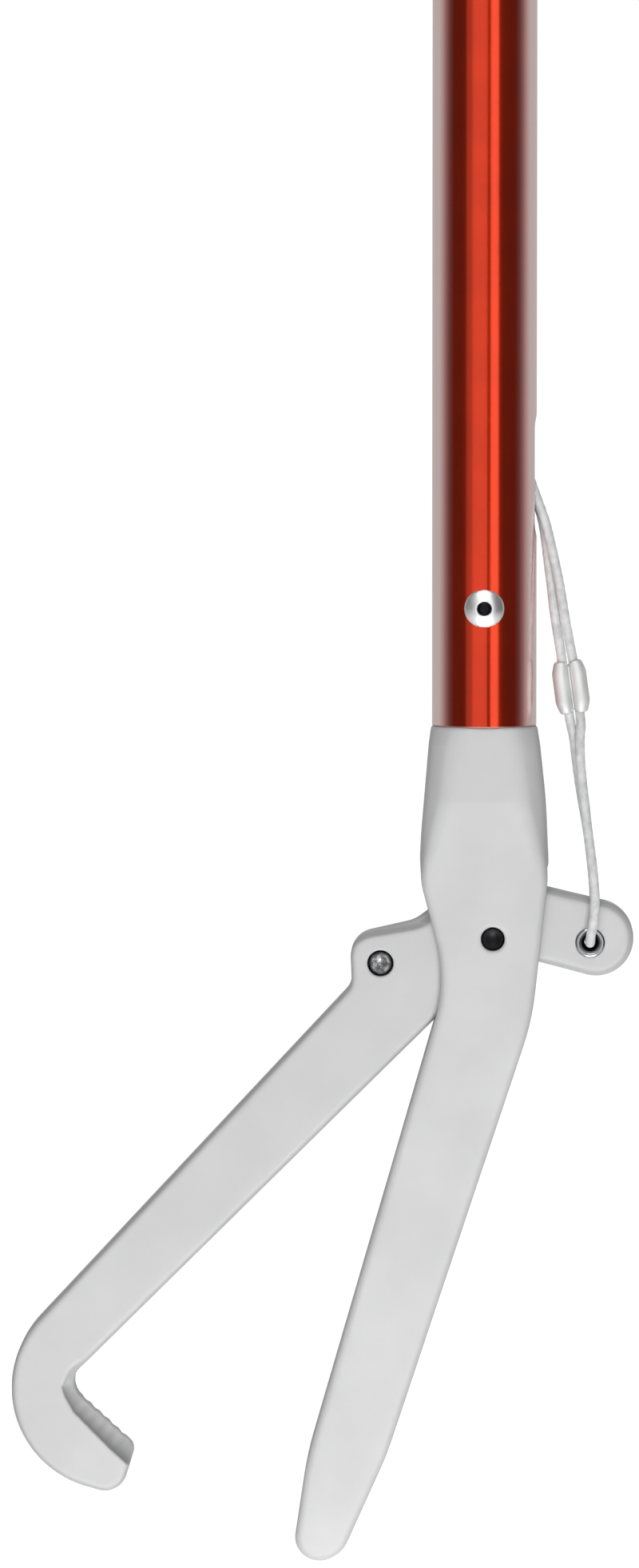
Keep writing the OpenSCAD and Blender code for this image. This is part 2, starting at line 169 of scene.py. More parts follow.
def surface(name, field, low, high, cell, material, at=(0, 0, 0)):
    """A closed mesh of the place where field(x, y, z) is below zero, by the method of surface nets.
    No point of it lies outside the box from low to high."""
    box = low, high
    low = np.array(low, float) - 1.6 * cell
    count = np.ceil((np.array(high) + 1.6 * cell - low) / cell).astype(int) + 1
    line = [low[i] + cell * np.arange(count[i]) for i in range(3)]
    d = field(line[0][:, None, None], line[1][None, :, None], line[2][None, None, :])
    d = np.where(np.broadcast_to(d, count) == 0, 1e-9, d)
    stride = np.array([(count[1] - 1) * (count[2] - 1), count[2] - 1, 1])
    rings, spots = [], []
    for axis in range(3):
        u, v = (axis + 1) % 3, (axis + 2) % 3
        first = tuple(slice(None, -1) if k == axis else slice(None) for k in range(3))
        second = tuple(slice(1, None) if k == axis else slice(None) for k in range(3))
        at_edge = np.argwhere((d[first] < 0) != (d[second] < 0))
        a, b = d[first][tuple(at_edge.T)], d[second][tuple(at_edge.T)]
        spot = at_edge.astype(float)
        spot[:, axis] += a / (a - b)
        ring = []
        for du, dv in ((-1, -1), (0, -1), (0, 0), (-1, 0)):
            c = at_edge.copy()
            c[:, u] += du
            c[:, v] += dv
            ring.append(c @ stride)
        ring = np.array(ring).T
        ring[a > 0] = ring[a > 0][:, ::-1]
        rings.append(ring)
        spots.append(spot)
    rings, spots = np.vstack(rings), np.repeat(np.vstack(spots), 4, axis=0)
    used, index = np.unique(rings.ravel(), return_inverse=True)
    index = index.ravel()
    n = np.bincount(index)
    p = np.stack([np.bincount(index, spots[:, k]) / n for k in range(3)], axis=1) * cell + low
    step = cell * 0.2
    for _ in range(3):
        here = field(*p.T)
        slope = np.stack([(field(*(p + step * e).T) - here) / step for e in np.eye(3)], axis=1)
        move = here[:, None] * slope / np.maximum((slope**2).sum(1), 0.2)[:, None]
        size = np.linalg.norm(move, axis=1)[:, None]
        p -= move * np.minimum(1, 0.45 * cell / np.maximum(size, 1e-9))
    p = np.clip(p, *box)
    return mesh(name, (p + np.array(at)) * MM, index.reshape(-1, 4), material)


def mesh(name, points, faces, material):
    data = bpy.data.meshes.new(name)
    data.from_pydata(np.asarray(points).tolist(), [], [list(map(int, f)) for f in faces])
    data.validate()
    data.shade_smooth()
    data.materials.append(material)
    obj = bpy.data.objects.new(name, data)
    bpy.context.collection.objects.link(obj)
    return obj


def sharpen(obj, degrees=35):
    obj.data.set_sharp_from_angle(angle=math.radians(degrees))
    return obj


def lathe(name, profile, axis, at, material, segments=64, degrees=35):
    """Turned piece: profile points are (radius, distance along the axis). It is closed at radius 0."""
    axis = Vector(axis).normalized()
    turn = Vector((0, 0, 1)).rotation_difference(axis).to_matrix()
    points, rows, faces = [], [], []
    for r, h in profile:
        if r < 1e-6:
            rows.append([len(points)] * segments)
            points.append(Vector((0, 0, h)))
        else:
            rows.append(list(range(len(points), len(points) + segments)))
            for k in range(segments):
                a = 2 * math.pi * k / segments
                points.append(Vector((r * math.cos(a), r * math.sin(a), h)))
    for low, high in zip(rows, rows[1:] + ([rows[0]] if profile[0][0] > 1e-6 else [])):
        for k in range(segments):
            j = (k + 1) % segments
            ring = [low[k], low[j], high[j], high[k]]
            face = [v for i, v in enumerate(ring) if v != ring[i - 1]]
            if len(face) > 2:
                faces.append(face)
    points = [(turn @ p + Vector(at)) * MM for p in points]
    return sharpen(mesh(name, points, faces, material), degrees)


def smooth_path(points, step):
    """Points on a smooth curve through the given ones. step(point) gives how far apart they are."""
    points = np.array(points, float)
    ends = np.vstack([2 * points[0] - points[1], points, 2 * points[-1] - points[-2]])
    out = []
    for i in range(1, len(ends) - 2):
        p0, p1, p2, p3 = ends[i - 1 : i + 3]
        span = np.linalg.norm(p2 - p1)
        t1 = np.linalg.norm(p1 - p0) ** 0.5
        t2 = t1 + span**0.5
        t3 = t2 + np.linalg.norm(p3 - p2) ** 0.5
        count = max(1, round(span / step(p1)))
        for t in np.linspace(t1, t2, count, endpoint=False):
            a1 = (t1 - t) / t1 * p0 + t / t1 * p1
            a2 = (t2 - t) / (t2 - t1) * p1 + (t - t1) / (t2 - t1) * p2
            a3 = (t3 - t) / (t3 - t2) * p2 + (t - t2) / (t3 - t2) * p3
            b1 = (t2 - t) / t2 * a1 + t / t2 * a2
            b2 = (t3 - t) / (t3 - t1) * a2 + (t - t1) / (t3 - t1) * a3
            out.append((t2 - t) / (t2 - t1) * b1 + (t - t1) / (t2 - t1) * b2)
    return np.array(out + [points[-1]])


def tube(name, path, radius, sides, material):
    """Round tube along a path, its ends closed. radius(distance, angle) gives its skin."""
    path = np.array(path, float)
    along = np.gradient(path, axis=0)
    along /= np.linalg.norm(along, axis=1)[:, None]
    far = np.concatenate([[0], np.cumsum(np.linalg.norm(np.diff(path, axis=0), axis=1))])
    side = np.cross(along[0], (1.0, 0, 0) if abs(along[0][0]) < 0.8 else (0, 1.0, 0))
    points, faces = [], []
    for i, (p, t) in enumerate(zip(path, along)):
        side = unit(side - (side @ t) * t)
        other = np.cross(t, side)
        for k in range(sides):
            a = 2 * math.pi * k / sides
            points.append(p + radius(far[i], a) * (math.cos(a) * side + math.sin(a) * other))
    for i in range(len(path) - 1):
        for k in range(sides):
            j = (k + 1) % sides
            faces.append([i * sides + k, i * sides + j, (i + 1) * sides + j, (i + 1) * sides + k])
    faces.append(list(range(sides))[::-1])
    faces.append([(len(path) - 1) * sides + k for k in range(sides)])
    return sharpen(mesh(name, np.array(points) * MM, faces, material), 60)


# ---- materials ------------------------------------------------------------------------------


def nodes_of(name):
    m = bpy.data.materials.new(name)
    m.use_nodes = True
    tree = m.node_tree
    return m, tree, tree.nodes["Principled BSDF"]


def link(tree, a, b):
    tree.links.new(a, b)


def noise(tree, scale, detail=3.0, roughness=0.55, stretch=(1, 1, 1)):
    spot = tree.nodes.new("ShaderNodeTexCoord")
    spread = tree.nodes.new("ShaderNodeMapping")
    spread.inputs["Scale"].default_value = stretch
    n = tree.nodes.new("ShaderNodeTexNoise")
    n.inputs["Scale"].default_value = scale
    n.inputs["Detail"].default_value = detail
    n.inputs["Roughness"].default_value = roughness
    link(tree, spot.outputs["Object"], spread.inputs["Vector"])
    link(tree, spread.outputs["Vector"], n.inputs["Vector"])
    return n.outputs["Fac"]


def ramp(tree, source, low, high, value_low=0.0, value_high=1.0):
    r = tree.nodes.new("ShaderNodeMapRange")
    for key, value in zip(("From Min", "From Max", "To Min", "To Max"), (low, high, value_low, value_high)):
        r.inputs[key].default_value = value
    link(tree, source, r.inputs["Value"])
    return r.outputs["Result"]


def mix(tree, factor, a, b):
    m = tree.nodes.new("ShaderNodeMix")
    m.data_type = "RGBA"
    link(tree, factor, m.inputs["Factor"])
    for key, value in (("A", a), ("B", b)):
        socket = [s for s in m.inputs if s.name == key and s.type == "RGBA"][0]
        if isinstance(value, tuple):
            socket.default_value = (*value, 1)
        else:
            link(tree, value, socket)
    return [s for s in m.outputs if s.type == "RGBA"][0]


def bump(tree, height, distance, strength=1.0, below=None):
    b = tree.nodes.new("ShaderNodeBump")
    b.inputs["Distance"].default_value = distance
    b.inputs["Strength"].default_value = strength
    link(tree, height, b.inputs["Height"])
    if below is not None:
        link(tree, below, b.inputs["Normal"])
    return b.outputs["Normal"]


def moulded(name, colour, roughness=0.52, shade_factor=None):
    """Injection-moulded plastic: faint clouds in the colour, a fine skin and slow sink marks. Where the
    mesh's attribute for painted shade is set, the colour is darkened by the given factor: painted shade."""
    m, tree, shader = nodes_of(name)
    light = tuple(min(1, c * 1.025) for c in colour)
    dark = tuple(c * 0.965 for c in colour)
    tone = mix(tree, ramp(tree, noise(tree, 90, 4), 0.35, 0.65), dark, light)
    if shade_factor:
        # Painted shade: the colour is darkened where the mesh's shade attribute is set
        shade_attribute = tree.nodes.new("ShaderNodeAttribute")
        shade_attribute.attribute_name = "painted_shade"
        tone = mix(tree, shade_attribute.outputs["Fac"], tone, tuple(c * shade_factor for c in colour))
    link(tree, tone, shader.inputs["Base Color"])
    link(tree, ramp(tree, noise(tree, 260, 3), 0.3, 0.7, roughness - 0.05, roughness + 0.06),
         shader.inputs["Roughness"])
    shader.inputs["Specular IOR Level"].default_value = 0.4
    sink = bump(tree, noise(tree, 45, 2), 0.0006, 0.35)
    link(tree, bump(tree, noise(tree, 3200, 2), 0.00003, 0.5, sink), shader.inputs["Normal"])
    return m


def metal(name, colour, roughness, scratch=(1, 1, 1), grain=1500, coat=0.0, depth=0.00001):
    """Metal with faint clouds and a fine grain. scratch stretches the grain along an axis."""
    m, tree, shader = nodes_of(name)
    dark = tuple(c * 0.9 for c in colour)
    tone = mix(tree, ramp(tree, noise(tree, 160, 3), 0.35, 0.65), dark, colour)
    link(tree, tone, shader.inputs["Base Color"])
    shader.inputs["Metallic"].default_value = 1
    link(tree, ramp(tree, noise(tree, 400, 3, stretch=scratch), 0.3, 0.7, roughness * 0.8, roughness * 1.25),
         shader.inputs["Roughness"])
    shader.inputs["Coat Weight"].default_value = coat
    shader.inputs["Coat Roughness"].default_value = 0.08
    link(tree, bump(tree, noise(tree, grain, 2, stretch=scratch), depth, 0.4), shader.inputs["Normal"])
    return m


PLASTIC = moulded("grey_plastic_skin", (0.49, 0.49, 0.493))
# The moving jaw's skin: its colour falls to 0.66 in the coves and on the bevels' rims as painted shade
JAW_PLASTIC = moulded("grey_jaw_skin", (0.475, 0.475, 0.478), 0.52, 0.66)
GRIP_PLASTIC = moulded("grey_grip_skin", (0.5, 0.5, 0.503), 0.5)


def anodised():
    """Red dyed aluminium under a clear film, whose gloss covers the dye where it is seen edge on."""
    m = metal("red_anodised_skin", (0.69, 0.033, 0.0), 0.18, (1, 1, 0.02), 900, 0.6, 0.000004)
    tree = m.node_tree
    edge = tree.nodes.new("ShaderNodeLayerWeight")
    film = tree.nodes.new("ShaderNodeBsdfGlossy")
    film.inputs["Roughness"].default_value = 0.22
    film.inputs["Color"].default_value = (1, 0.93, 0.9, 1)
    blend = tree.nodes.new("ShaderNodeMixShader")
    link(tree, ramp(tree, edge.outputs["Facing"], 0.19, 0.5, 0.0, 0.76), blend.inputs["Fac"])
    link(tree, tree.nodes["Principled BSDF"].outputs["BSDF"], blend.inputs[1])
    link(tree, film.outputs["BSDF"], blend.inputs[2])
    link(tree, blend.outputs["Shader"], tree.nodes["Material Output"].inputs["Surface"])
    return m


ANODISED = anodised()
BRIGHT = metal("bright_aluminium_skin", (0.8, 0.8, 0.81), 0.38)
# Dark steel for pins, mandrels and screws, and painted shade in the eyelet's throat
DARK = metal("dark_steel_and_painted_shade_skin", (0.016, 0.016, 0.017), 0.42)
WIRE = metal("spring_wire_skin", (0.55, 0.55, 0.57), 0.3)
CRIMP = metal("crimped_aluminium_skin", (0.7, 0.71, 0.7), 0.5)
CRIMP.node_tree.nodes["Principled BSDF"].inputs["Metallic"].default_value = 0.5
NICKEL = metal("eyelet_nickel_skin", (0.4, 0.4, 0.41), 0.14)


def magnet_skin():
    """Nickel plate over a sintered magnet, worn and stained in blotches."""
    m, tree, shader = nodes_of("magnet_skin")
    stain = ramp(tree, noise(tree, 1300, 5, 0.65), 0.42, 0.6)
    link(tree, mix(tree, stain, (0.09, 0.09, 0.095), (0.34, 0.34, 0.35)), shader.inputs["Base Color"])
    shader.inputs["Metallic"].default_value = 0.85
    link(tree, ramp(tree, stain, 0, 1, 0.55, 0.32), shader.inputs["Roughness"])
    link(tree, bump(tree, noise(tree, 2600, 3), 0.00006, 0.6), shader.inputs["Normal"])
    return m


MAGNET_SKIN = magnet_skin()
BUSH = moulded("bush_skin", (0.82, 0.82, 0.79), 0.35)


def nylon():
    """Pale nylon yarn, a little fuzzy, with a fine grain along it."""
    m, tree, shader = nodes_of("nylon_cord_skin")
    tone = ramp(tree, noise(tree, 900, 4), 0.35, 0.65)
    link(tree, mix(tree, tone, (0.47, 0.475, 0.48), (0.61, 0.615, 0.62)), shader.inputs["Base Color"])
    shader.inputs["Roughness"].default_value = 0.6
    shader.inputs["Sheen Weight"].default_value = 0.25
    link(tree, bump(tree, noise(tree, 5200, 2, stretch=(1, 1, 0.25)), 0.00004, 0.7), shader.inputs["Normal"])
    return m


CORD = nylon()


def kept(node, material):
    """A CAD node that stays, with a better material."""
    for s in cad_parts[node].material_slots:
        s.material = material


# ---- shaft ----------------------------------------------------------------------------------


RIVET_HOLE_R = 1.62
PEG_Z = TUBE_HIGH[2] - 19
PEG_HOLE_R = 2.45
TUBE_CHAMFER = 0.18
CORD_SLOT_LOW, CORD_SLOT_HIGH = PIVOT[2] + 61.5, PIVOT[2] + 80.0
CORD_SLOT_R = 2.2
# Height of a ring of corners just above the cord's slot, which keeps the long facets above it whole
TUBE_RING = 48


def slot_cutter():
    """A long hole with round ends, cut along X through one wall of the tube."""
    shape = []
    for start, z in ((0, CORD_SLOT_HIGH - CORD_SLOT_R), (math.pi, CORD_SLOT_LOW + CORD_SLOT_R)):
        for a in np.linspace(start, start + math.pi, 17):
            shape.append((CORD_SLOT_R * math.cos(a), z + CORD_SLOT_R * math.sin(a)))
    points = [(x, y, z) for x in (4.0, 10.0) for y, z in shape]
    n = len(shape)
    faces = [[i, (i + 1) % n, n + (i + 1) % n, n + i] for i in range(n)]
    faces += [list(range(n))[::-1], list(range(n, 2 * n))]
    return mesh("cut_slot", np.array(points) * MM, faces, ANODISED)


def shaft():
    low, high, c = TUBE_LOW[2], TUBE_HIGH[2], TUBE_CHAMFER
    rings = [(BORE_R, low + c), (BORE_R + c, low), (TUBE_R - c, low), (TUBE_R, low + c),
             (TUBE_R, low + TUBE_RING), (TUBE_R, high - c), (TUBE_R - c, high), (BORE_R + c, high),
             (BORE_R, high - c)]
    obj = lathe("shaft_tube_drawn", rings, (0, 0, 1), (0, 0, 0), ANODISED, 192, 30)
    cutters = [slot_cutter()]
    for z, r in ((RIVET_Z, RIVET_HOLE_R), (PEG_Z, PEG_HOLE_R)):
        bore = [(0, -12), (r, -12), (r, 12), (0, 12)]
        cutters.append(lathe("cut_hole", bore, (0, 1, 0), (0, 0, z), ANODISED, 48))
    for cut in cutters:
        m = obj.modifiers.new("cut", "BOOLEAN")
        m.object, m.operation, m.solver = cut, "DIFFERENCE", "EXACT"
    bpy.context.view_layer.update()
    done = bpy.data.meshes.new_from_object(obj.evaluated_get(bpy.context.evaluated_depsgraph_get()))
    obj.modifiers.clear()
    obj.data = done
    obj.data.shade_smooth()
    sharpen(obj, 30)
    for cut in cutters:
        bpy.data.objects.remove(cut)
    return obj


RIVET_HEAD_R, RIVET_DOME_R, RIVET_SHANK_R, RIVET_TAIL_R = 3.05, 4.95, 1.6, 2.0
RIVET_TOP, RIVET_INNER_END = -9.12, -1.9
# The mandrel left in the rivet: radius, distance from the tube's axis
MANDREL = [(0, 8.12), (0.45, 8.2), (0.8, 8.1), (0.98, 7.95), (0.98, 1.9), (1.38, 1.86), (1.38, 1.25),
           (0, 1.2)]
MANDREL_HOLE_R = 1.04


def rivet_field(x, y, z):
    """A blind rivet, its head outward along -Y, from the tube's axis at the rivet's height."""
    out = np.hypot(x, z)
    dome = np.sqrt(x * x + (y + TUBE_R - 3.9) ** 2 + z * z) - RIVET_DOME_R
    head = both(out - RIVET_HEAD_R, dome, 0.3)
    head = both(head, RIVET_TOP - y, 0.2)
    head = both(head, y + 6.5, 0.1)
    head = both(head, TUBE_R + 0.01 - np.hypot(x, y), 0.12)
    shank = np.maximum(out - RIVET_SHANK_R, np.maximum(-8.3 - y, y - RIVET_INNER_END))
    tail = both(out - RIVET_TAIL_R, np.maximum(-2.6 - y, y - RIVET_INNER_END), 0.1)
    body = np.minimum(np.minimum(head, shank), tail)
    return without(body, np.maximum(out - MANDREL_HOLE_R, y + 1.0), 0.3)


def rivets():
    made = []
    low, high = (-3.1, -9.2, -3.1), (3.1, -1.8, 3.1)
    for side, turn in (("front", 0), ("back", math.pi)):
        head = surface(f"jaw_rivet_{side}_head", rivet_field, low, high, 0.15, BRIGHT)
        core = lathe(f"rivet_mandrel_{side}_stub", MANDREL, (0, -1, 0), (0, 0, 0), DARK, 40)
        for obj in (head, core):
            obj.data.transform(Matrix.Translation((0, 0, RIVET_Z * MM)) @ Matrix.Rotation(turn, 4, "Z"))
        made.append((head, core))
    return made


# ---- jaws -----------------------------------------------------------------------------------

FIXED_OUTLINE = outline(rounded(FIXED_JAW))
SLOT_OUTLINE = outline(FORK_SLOT)
MOVING_OUTLINE = outline(rounded(MOVING_JAW))
TRIGGER_OUTLINE = outline(rounded(TRIGGER))
SLOT_HALF = 3.85
HUB_ROOM_R = 9.6
FORK_BEVEL = 0.75
SPIGOT_R, SPIGOT_TOP, SPIGOT_BORE_R = 6.94, 57.4, 3.4


def fixed_jaw_field(x, y, z):
    """The spigot, the boss and the fork with its long jaw, from the jaw pivot."""
    shaft_x = x + PIVOT[0]
    out = np.hypot(shaft_x, y)
    half = np.interp(z, *zip(*FORK_SIDE))
    plate = bevelled(FIXED_OUTLINE(x, z), np.abs(y) - half, FORK_BEVEL)
    boss = (out - np.interp(z, *zip(*BOSS_SIDE))) * 0.97
    solid = both(both(plate, boss, 1.0), z - NECK, 0.3)
    spigot = both(out - SPIGOT_R, np.maximum(z - SPIGOT_TOP, 30 - z), 0.6)
    solid = np.minimum(solid, spigot)
    room = np.minimum(SLOT_OUTLINE(x, z), np.hypot(x, z) - HUB_ROOM_R)
    solid = without(solid, np.maximum(room, np.abs(y) - SLOT_HALF), 0.45)
    solid = without(solid, np.hypot(x, z) - PIN_R - 0.03, 0.25)
    solid = np.maximum(solid, -np.maximum(out - SPIGOT_BORE_R, NECK + 2 - z))
    return np.maximum(solid, -(np.hypot(shaft_x, z - (RIVET_Z - PIVOT[2])) - RIVET_HOLE_R))


GRIP_ROOT = np.array(MOVING_JAW[7][:2])
GRIP_WAY = unit(np.array(MOVING_JAW[8][:2]) - GRIP_ROOT)
# Ribs run across the hook's gripping face, and a cove runs along each of its edges
RIB_PITCH, RIB_DEPTH, RIB_FROM, RIB_TO = 1.9, 0.16, 2.6, 13.6
# The cove's radius by distance along the face
COVE = [0.0, 1.5, 4.0, 12.0], [0.7, 1.5, 2.3, 2.75]
JAW_BEVEL, LUG_BEVEL, LEVER_BEVEL, CROOK_BEVEL = 0.65, 1.1, 0.3, 1.0
EYELET_HOLE_R, MAGNET_HOLE_R, MAGNET_DEPTH, SPRING_POCKET_R = 1.83, 2.0, 1.8, 3.9


def on_grip(x, z):
    """Distance along the gripping face from its root, and distance off it."""
    return ((x - GRIP_ROOT[0]) * GRIP_WAY[0] + (z - GRIP_ROOT[1]) * GRIP_WAY[1],
            (z - GRIP_ROOT[1]) * GRIP_WAY[0] - (x - GRIP_ROOT[0]) * GRIP_WAY[1])


def moving_jaw_field(x, y, z):
    """The hooked jaw with its hub, its lug and the lever for the cord, from the jaw pivot."""
    flat, deep, hub = MOVING_OUTLINE(x, z), np.abs(y), np.hypot(x, z)
    s, off = on_grip(x, z)
    ends = np.clip((s - RIB_FROM) / 1.2, 0, 1) * np.clip((RIB_TO - s) / 0.8, 0, 1)
    rib = RIB_DEPTH * ends * np.clip(3 - np.abs(off), 0, 1)
    rib = rib * (0.5 + 0.5 * np.cos(2 * math.pi * (s - 4.2) / RIB_PITCH))
    # The bevel is wider on the lug's upper edge, on the lever and in the crook of the hook
    lug_top = np.clip((z + 1) / 3, 0, 1) * np.clip((-2 - x) / 4, 0, 1)
    lever = np.clip((x - 6) / 3, 0, 1)
    crook = np.clip(1 - np.hypot(x - GRIP_ROOT[0], z - GRIP_ROOT[1]) / 5, 0, 1)
    leg = JAW_BEVEL + LUG_BEVEL * lug_top + LEVER_BEVEL * lever + CROOK_BEVEL * crook
    solid = bevelled(flat + rib, deep - JAW_HALF, leg)
    cove_r = np.interp(s, *COVE) + 0.5 * rib
    cove = np.maximum(np.hypot(off, deep - JAW_HALF) - cove_r, -s)
    solid = without(solid, cove, 0.3)
    solid = without(solid, hub - PIN_R - 0.06, 0.15)
    solid = without(solid, np.hypot(x - EYELET[0], z - EYELET[2]) - EYELET_HOLE_R, 0.2)
    seat = np.hypot(x - MAGNET[0], z - MAGNET[2]) - MAGNET_HOLE_R
    solid = without(solid, np.maximum(seat, y - MAGNET_DEPTH), 0.25)
    # Room for the spring: its coil, the sweep of its upper leg and a groove for its lower leg
    pocket = np.maximum(hub - SPRING_POCKET_R, y - 0.2)
    sweep = (np.abs(np.arctan2(z, x) - math.radians(80)) - math.radians(18)) * hub
    window = np.maximum(np.maximum(sweep, y + 2.3), -z)
    groove = np.maximum(np.maximum(np.abs(z - 2.9) - 0.42, y + 0.4), np.maximum(-8.8 - x, x))
    return np.maximum(solid, -np.minimum(np.minimum(pocket, window), groove))


def paint_shade_on(moving):
    """Paints shade into the moving jaw's coves, and a little less shade on the rim of its bevels."""
    x, y, z = (np.array([v.co for v in moving.data.vertices]) / MM - PIVOT).T
    s, off = on_grip(x, z)
    inward = JAW_HALF - np.abs(y)
    near = np.interp(s, *COVE) + 0.3 - np.hypot(off, inward)
    cove = np.clip(near / 0.3, 0, 1) * np.clip((s + 0.2) / 0.8, 0, 1)
    rim = np.clip((inward - 0.12) / 0.2, 0, 1) * np.clip((1.4 - inward) / 0.4, 0, 1)
    painted_shade = np.maximum(cove, 0.45 * rim).astype(np.float32)
    moving.data.attributes.new("painted_shade", "FLOAT", "POINT").data.foreach_set("value", painted_shade)


def jaws():
    made = []
    for node, field, cell, skin in (("fixed_jaw", fixed_jaw_field, 0.38, PLASTIC),
                                    ("moving_jaw", moving_jaw_field, 0.26, JAW_PLASTIC)):
        low, high = corners(node)
        made.append(surface(node + "_moulding", field, low - PIVOT, high - PIVOT, cell, skin, PIVOT))
    # Painted shade in the moving jaw's coves and on the rims of its bevels
    paint_shade_on(made[1])
    return made


def mirrored(half):
    """A turned profile that is the same at both ends."""
    return half + [(r, -h) for r, h in half[::-1]]


def pivot_pin():
    end, r = -PIN_END, PIN_R
    half = [(0, end + 0.25), (0.7, end + 0.25), (1.0, end + 0.05), (r - 0.25, end), (r, end + 0.2)]
    return lathe("jaw_pivot_pin_turned", mirrored(half), (0, 1, 0), PIVOT, DARK, 48)


def magnet():
    front, back = -corners("lug_magnet")[0][1], -corners("lug_magnet")[1][1]
    profile = [(0, front - 0.12), (0.5, front - 0.1), (0.75, front), (1.42, front), (1.68, front - 0.3),
               (1.72, back + 0.2), (1.6, back), (0, back)]
    at = (PIVOT[0] + MAGNET[0], 0, PIVOT[2] + MAGNET[2])
    return lathe("lug_magnet_disc", profile, (0, -1, 0), at, MAGNET_SKIN, 48)


EYELET_THROAT_R = 1.28


def eyelet():
    """The rolled ring round the cord's hole, its throat given the dark steel skin as painted shade."""
    lip = -JAW_HALF
    half = [(0.84, -0.6), (0.86, -1.7), (1.2, lip + 0.7), (1.3, lip + 0.4), (1.47, lip - 0.1),
            (1.6, lip - 0.26), (1.8, lip - 0.34), (2.1, lip - 0.3), (2.27, lip - 0.14), (2.25, lip),
            (1.79, lip)]
    at = PIVOT + EYELET * [1, 0, 1]
    obj = lathe("cord_eyelet_rolled", mirrored(half), (0, 1, 0), at, NICKEL, 48, 50)
    # Painted shade: the throat's faces take the dark steel skin, for the shade inside the hole
    obj.data.materials.append(DARK)
    for face in obj.data.polygons:
        x, _, z = np.array(face.center) / MM - at
        face.material_index = int(math.hypot(x, z) < EYELET_THROAT_R)
    return obj


COIL_R, WIRE_R, COIL_TURNS, COIL_STEPS = 2.9, 0.3, 3, 72
COIL_FRONT, COIL_LENGTH = -2.9, 2.1


def return_spring():
    """A torsion spring: one leg up into the fork, three turns, and one leg in the jaw's groove."""
    path = [(0.7, COIL_FRONT, 12.5), (0.7, COIL_FRONT, 8), (0.62, COIL_FRONT, 3.9)]
    for k in range(COIL_STEPS + 1):
        a = math.pi / 2 + 2 * math.pi * COIL_TURNS * k / COIL_STEPS
        y = COIL_FRONT + COIL_LENGTH * k / COIL_STEPS
        path.append((COIL_R * math.cos(a), y, COIL_R * math.sin(a)))
    path += [(-4, -0.8, 2.9), (-8.3, -0.8, 2.9)]
    return tube("jaw_return_spring_wire", np.array(path) + PIVOT, lambda far, a: WIRE_R, 10, WIRE)


# ---- pull cord ------------------------------------------------------------------------------

# Middle line of the doubled cord from the jaw pivot: x, z, half the distance between the two strands,
# and the pair's turn in degrees, from side by side at 0 to one behind the other at 90
CORD_ABOVE = [(3.2, 100, 0.8, 90), (3.4, 86, 0.8, 90), (3.8, 79, 0.8, 90), (4.6, 74, 0.8, 90),
              (5.7, 70, 0.8, 90), (6.7, 67, 0.8, 86), (7.8, 63.5, 0.8, 76), (8.5, 60, 0.78, 62),
              (9.1, 56.5, 0.77, 46), (9.6, 53.5, 0.76, 32), (10.0, 50.6, 0.76, 18), (10.4, 48, 0.76, 6),
              (10.9, 45.2, 0.78, 0)]
CORD_IN_FERRULE = [(11.38, 42.4, 0.85, 0), (11.93, 38.3, 0.85, 0), (12.48, 34.2, 0.85, 0)]
CORD_BELOW = [(12.72, 32.4, 0.86, 30), (12.85, 30.6, 0.9, 58), (13.1, 27, 1.2, 76), (13.5, 23.5, 1.7, 83),
              (14.0, 20, 2.3, 87), (14.5, 16.5, 2.95, 90), (15.0, 12.8, 3.7, 90), (15.4, 9.2, 4.4, 90),
              (15.6, 6, 4.85, 90), (15.5, 3.6, 4.95, 90), (15.25, 1.8, 4.98, 90), (15.0, 0.6, 4.9, 90),
              (14.92, -0.15, 4.6, 90), (14.9, -0.6, 4.05, 90), (14.9, -0.7, 3.2, 90)]
CORD_PAIR = CORD_ABOVE + CORD_IN_FERRULE + CORD_BELOW
CORD_R, CORD_APART = 0.75, 0.8
CORD_TOP_X, CORD_TOP_Z = CORD_PAIR[0][:2]
# Points lie close together below this height, where the cord comes into view
CORD_FINE_BELOW, CORD_FINE, CORD_COARSE = 84, 0.3, 12
FERRULE_HALF = 4.1


def strand(side):
    """One of the two strands, from the ball stop down to the eyelet."""
    points = [(ANCHOR[0], side * CORD_APART, ANCHOR[2] - 1)]
    top_x = PIVOT[0] + CORD_TOP_X
    for z in (400, 300, 200):
        t = (z - CORD_TOP_Z) / (ANCHOR[2] - PIVOT[2] - CORD_TOP_Z)
        points.append((top_x + t * (ANCHOR[0] - top_x), side * CORD_APART, PIVOT[2] + z))
    for x, z, gap, turn in CORD_PAIR:
        a = math.radians(turn)
        points.append((PIVOT[0] + x - side * gap * math.cos(a), side * gap * math.sin(a), PIVOT[2] + z))
    return points


def cord():
    def step(p):
        return CORD_FINE if p[2] < PIVOT[2] + CORD_FINE_BELOW else CORD_COARSE

    def skin(far, a):
        plait = max(abs(math.sin(4 * a + far * 2.3)), abs(math.sin(4 * a - far * 2.3)))
        return CORD_R * (0.9 + 0.1 * plait)

    path = smooth_path(strand(-1) + strand(1)[::-1], step)
    return tube("pull_cord_braid", path, skin, 24, CORD)


def ferrule_field(x, y, z):
    """The crimped sleeve round the two strands, from its own middle, along z."""
    shoulder = np.clip((np.abs(z) - 2.2) / 1.9, 0, 1)
    r = 1.33 - 0.35 * shoulder**1.5
    apart = 1.3 - 0.25 * shoulder
    barrels = either(np.hypot(x - apart, y) - r, np.hypot(x + apart, y) - r, 0.12)
    solid = both(barrels, np.abs(z) - FERRULE_HALF, 0.35)
    return without(solid, np.minimum(np.hypot(x - 0.85, y), np.hypot(x + 0.85, y)) - 0.8, 0.12)


